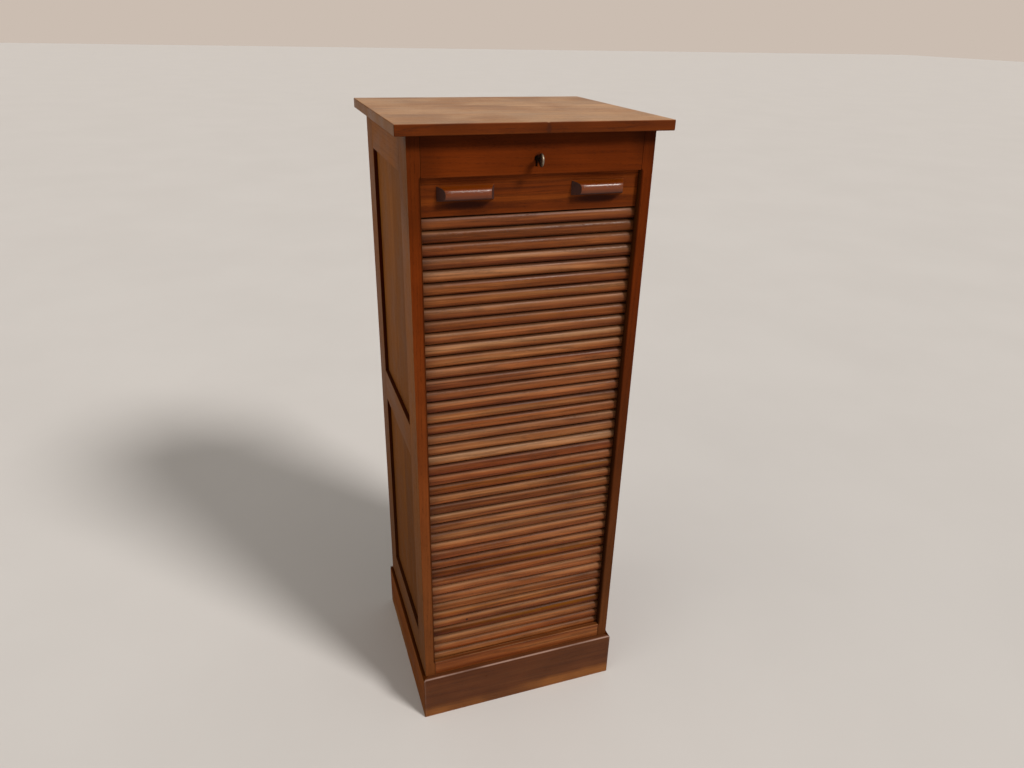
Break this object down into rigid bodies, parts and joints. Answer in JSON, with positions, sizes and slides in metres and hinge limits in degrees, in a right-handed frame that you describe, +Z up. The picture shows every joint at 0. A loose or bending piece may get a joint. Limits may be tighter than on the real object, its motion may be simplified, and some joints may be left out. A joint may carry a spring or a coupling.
{
  "type": "tambour filing cabinet",
  "caption": "Tall narrow filing cabinet with a slatted tambour shutter that slides down to open, two finger pulls, a lock with a key, panelled sides and shelves on a plinth.",
  "frame": {"origin": "on the floor, under the middle of the whole part's box, with the key in its lock", "axes": "+Z up, the shutter faces -Y, +X to the right seen from the front"},
  "size_m": [0.451, 0.405, 1.2],
  "materials": {
    "top_oak": "worn satin lacquer",
    "frame_oak": "satin lacquer",
    "panel_oak": "satin lacquer",
    "slat_oak": "gloss lacquer",
    "plinth_oak": "worn dark lacquer",
    "inner_wood": "matt",
    "plywood": "matt",
    "lock_steel": "dull",
    "brass": "dull",
    "key_nickel": "worn nickel plate"
  },
  "bodies": {
    "carcase": {"top_board": "top_oak", "plinth_front": "plinth_oak", "plinth_left": "plinth_oak", "plinth_right": "plinth_oak", "plinth_back": "plinth_oak", "left_front_stile": "frame_oak", "left_rear_stile": "frame_oak", "right_front_stile": "frame_oak", "right_rear_stile": "frame_oak", "left_bottom_rail": "frame_oak", "left_middle_rail": "frame_oak", "left_top_rail": "frame_oak", "left_lower_panel": "panel_oak", "left_upper_panel": "panel_oak", "right_bottom_rail": "frame_oak", "right_middle_rail": "frame_oak", "right_top_rail": "frame_oak", "right_lower_panel": "panel_oak", "right_upper_panel": "panel_oak", "back_bottom_rail": "frame_oak", "back_middle_rail": "frame_oak", "back_top_rail": "frame_oak", "back_lower_panel": "panel_oak", "back_upper_panel": "panel_oak", "front_top_rail": "frame_oak", "front_sill_rail": "frame_oak", "left_track": "inner_wood", "right_track": "inner_wood", "floor_board": "inner_wood", "floor_cleat_left": "inner_wood", "floor_cleat_right": "inner_wood", "shelf_1": "inner_wood", "shelf_cleat_1_left": "inner_wood", "shelf_cleat_1_right": "inner_wood", "shelf_2": "inner_wood", "shelf_cleat_2_left": "inner_wood", "shelf_cleat_2_right": "inner_wood", "shelf_3": "inner_wood", "shelf_cleat_3_left": "inner_wood", "shelf_cleat_3_right": "inner_wood", "inner_back": "plywood", "left_top_batten": "inner_wood", "right_top_batten": "inner_wood", "tambour_1": "slat_oak", "tambour_2": "slat_oak", "tambour_3": "slat_oak", "tambour_4": "slat_oak", "tambour_5": "slat_oak", "tambour_6": "slat_oak", "tambour_7": "slat_oak", "tambour_8": "slat_oak", "tambour_9": "slat_oak", "lock_case": "lock_steel"},
    "shutter": {"lead_rail": "frame_oak", "strike_plate": "brass", "left_pull": "frame_oak", "right_pull": "frame_oak"},
    "bolt": {"lock_bolt": "brass"},
    "key": {"key": "key_nickel"}
  },
  "joints": [
    {"name": "shutter_slide", "type": "slide", "parent": "carcase", "child": "shutter", "axis": [0, 0, -1], "range_m": [0, 0.943], "deforming": ["tambour_1", "tambour_2", "tambour_3", "tambour_4", "tambour_5", "tambour_6", "tambour_7", "tambour_8", "tambour_9"]},
    {"name": "key_turn", "type": "hinge", "parent": "carcase", "child": "key", "pos_m": [0, -0.1725, 1.144], "axis": [0, 1, 0], "range_deg": [0, 90]},
    {"name": "bolt_throw", "type": "slide", "parent": "carcase", "child": "bolt", "axis": [0, 0, -1], "range_m": [0, 0.01]}
  ],
  "couplings": [
    {"joint": "bolt_throw", "follows": "key_turn", "m_per_rad": 0.00636}
  ]
}
